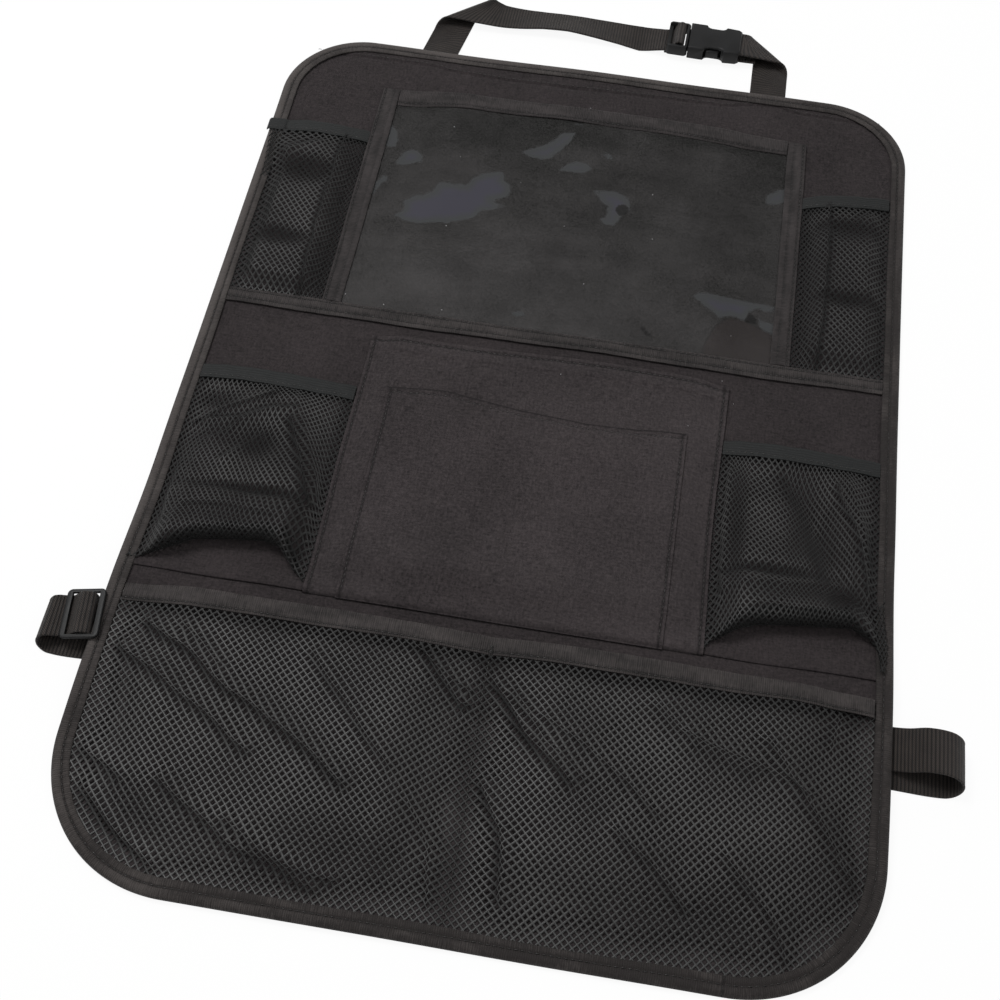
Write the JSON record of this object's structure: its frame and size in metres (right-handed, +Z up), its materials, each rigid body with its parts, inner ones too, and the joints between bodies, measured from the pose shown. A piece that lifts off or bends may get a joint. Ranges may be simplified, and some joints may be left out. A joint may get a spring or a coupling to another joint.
{
  "type": "car seat back organizer",
  "caption": "Flat cloth organizer for the back of a car seat, with net pockets, a cloth pocket, a clear tablet window, a buckled top strap and an adjustable strap at the sides.",
  "frame": {"origin": "under the middle of the organizer's outer box, straps included, on the surface it lies on", "axes": "+Y along the panel towards its top edge and the buckled strap, +Z up out of the pockets' side, +X towards the right-hand loop"},
  "size_m": [0.4962, 0.683, 0.0216],
  "materials": {
    "panel_cloth": "matt woven polyester canvas",
    "pocket_cloth": "matt woven polyester canvas",
    "binding_tape": "ribbed woven tape",
    "seam_tape": "ribbed woven tape",
    "net": "knitted polyester net, slightly satin",
    "elastic": "fine ribbed elastic",
    "clear_film": "clear soft plastic film, glossy",
    "webbing": "woven polyester webbing",
    "buckle_plastic": "satin moulded plastic",
    "slider_plastic": "satin moulded plastic"
  },
  "bodies": {
    "root": {"back_panel": "panel_cloth", "edge_binding": "binding_tape", "tablet_window": "clear_film", "window_tape_left": "seam_tape", "window_tape_right": "seam_tape", "window_hem_tape": "seam_tape", "shelf_tape": "seam_tape", "upper_net_left": "net", "upper_elastic_left": "elastic", "upper_net_right": "net", "upper_elastic_right": "elastic", "centre_pocket": "pocket_cloth", "small_pocket": "pocket_cloth", "side_net_left": "net", "side_elastic_left": "elastic", "side_net_right": "net", "side_elastic_right": "elastic", "big_net": "net", "big_pocket_tape": "seam_tape", "buckle_plug": "buckle_plastic", "buckle_socket": "buckle_plastic", "top_strap_long": "webbing", "top_strap_short": "webbing", "slider": "slider_plastic", "lower_strap": "webbing"}
  },
  "joints": []
}
